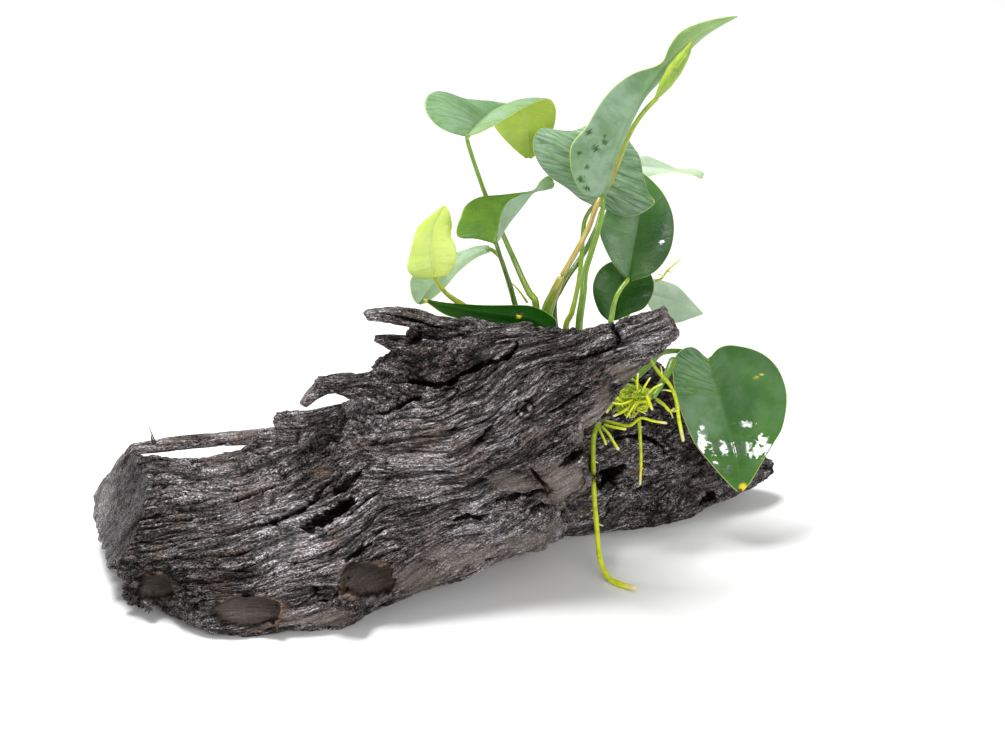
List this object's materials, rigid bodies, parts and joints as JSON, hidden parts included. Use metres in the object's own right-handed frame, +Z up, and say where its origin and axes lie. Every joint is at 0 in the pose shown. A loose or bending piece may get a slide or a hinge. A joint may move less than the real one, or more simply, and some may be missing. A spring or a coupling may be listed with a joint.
{
  "type": "anubias on driftwood",
  "caption": "Aquarium plant with glossy heart-shaped leaves, a flower bud and trailing roots, growing in the fork of a sawn, weathered piece of driftwood.",
  "frame": {"origin": "on the ground under the middle of the object", "axes": "+X right along the driftwood seen from the front, +Y away from the front view, +Z up"},
  "size_m": [0.2741, 0.1457, 0.2109],
  "materials": {
    "driftwood": "wet, weathered",
    "leaf": "wet gloss",
    "young_leaf": "satin",
    "stalk": "satin",
    "root": "satin"
  },
  "bodies": {
    "root": {"driftwood_trunk": "driftwood", "driftwood_horn": "driftwood", "driftwood_rear_limb": "driftwood", "leaf_top_left": "leaf", "leaf_tall": "leaf", "leaf_broad_back": "leaf", "leaf_right_middle": "leaf", "leaf_round_low": "leaf", "leaf_far_right": "leaf", "leaf_edge_on": "leaf", "leaf_folded": "leaf", "leaf_young": "young_leaf", "leaf_low_left": "leaf", "leaf_resting": "leaf", "leaf_front_right": "leaf", "stalk_top_left": "stalk", "stalk_tall": "stalk", "stalk_broad_back": "stalk", "stalk_right_middle": "stalk", "stalk_round_low": "stalk", "stalk_far_right": "stalk", "stalk_edge_on": "stalk", "stalk_folded": "stalk", "stalk_young": "stalk", "stalk_low_left": "stalk", "stalk_resting": "stalk", "stalk_front_right": "stalk", "flower_bud": "young_leaf", "flower_stalk": "stalk", "flower_sheath": "stalk", "young_shoot": "stalk", "rhizome": "stalk", "root_long": "root", "root_hanging": "root", "root_right": "root", "root_forked": "root", "root_wandering": "root", "root_short_upper": "root", "root_short_middle": "root", "root_short_lower": "root", "root_upper_right": "root", "root_wood_top": "root", "root_tangle": "root"}
  },
  "joints": []
}
